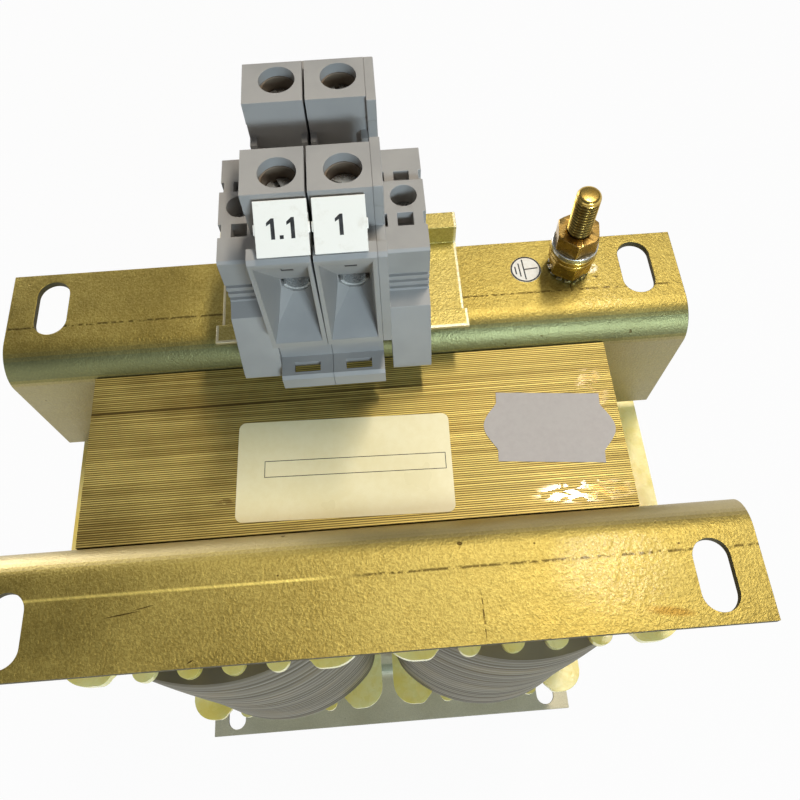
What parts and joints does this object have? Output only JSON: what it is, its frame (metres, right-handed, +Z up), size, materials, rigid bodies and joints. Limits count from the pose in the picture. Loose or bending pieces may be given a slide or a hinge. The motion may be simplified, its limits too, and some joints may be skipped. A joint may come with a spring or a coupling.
{
  "type": "line reactor",
  "caption": "Open line reactor: wound coils on a laminated core between folded angle brackets, with a terminal row and an earth stud on top.",
  "frame": {"origin": "middle of the box at its base, on the plane of the bottom flanges", "axes": "+X along the brackets to the side with the earth stud, +Y to the side with the terminals, +Z up"},
  "size_m": [0.176, 0.1182, 0.314],
  "materials": {
    "yellow_zinc": "yellow passivated zinc on folded steel sheet",
    "core_varnish": "lamination edges under a clear amber varnish",
    "bright_zinc": "bright zinc",
    "stud_gold": "yellow passivated zinc on turned steel",
    "former_resin": "pale yellow glass-filled plastic, varnished",
    "winding_film": "grey wrapped winding under varnish",
    "grey_polyamide": "moulded grey",
    "white_tag": "printed off-white",
    "copper_bar": "tinned copper alloy",
    "pressboard": "brown pressboard"
  },
  "bodies": {
    "root": {"upper_yoke": "core_varnish", "u_core": "core_varnish", "gap_spacers": "pressboard", "top_rear_bracket": "yellow_zinc", "top_front_bracket": "yellow_zinc", "bottom_rear_bracket": "yellow_zinc", "bottom_front_bracket": "yellow_zinc", "core_bolts": "bright_zinc", "core_washers": "bright_zinc", "core_nuts": "bright_zinc", "left_coil_former": "former_resin", "right_coil_former": "former_resin", "left_winding": "winding_film", "right_winding": "winding_film", "din_rail": "yellow_zinc", "left_terminal_housing": "grey_polyamide", "right_terminal_housing": "grey_polyamide", "end_cover": "grey_polyamide", "clamp_cages": "bright_zinc", "clamp_screws": "bright_zinc", "current_bars": "copper_bar", "left_marker_tag": "white_tag", "right_marker_tag": "white_tag", "left_end_bracket": "grey_polyamide", "right_end_bracket": "grey_polyamide", "end_bracket_screws": "bright_zinc", "earth_stud": "stud_gold", "earth_lock_washer": "bright_zinc", "earth_lower_nut": "stud_gold", "earth_lower_washer": "stud_gold", "earth_upper_washer": "stud_gold", "earth_spring_washer": "bright_zinc", "earth_upper_nut": "stud_gold"}
  },
  "joints": []
}
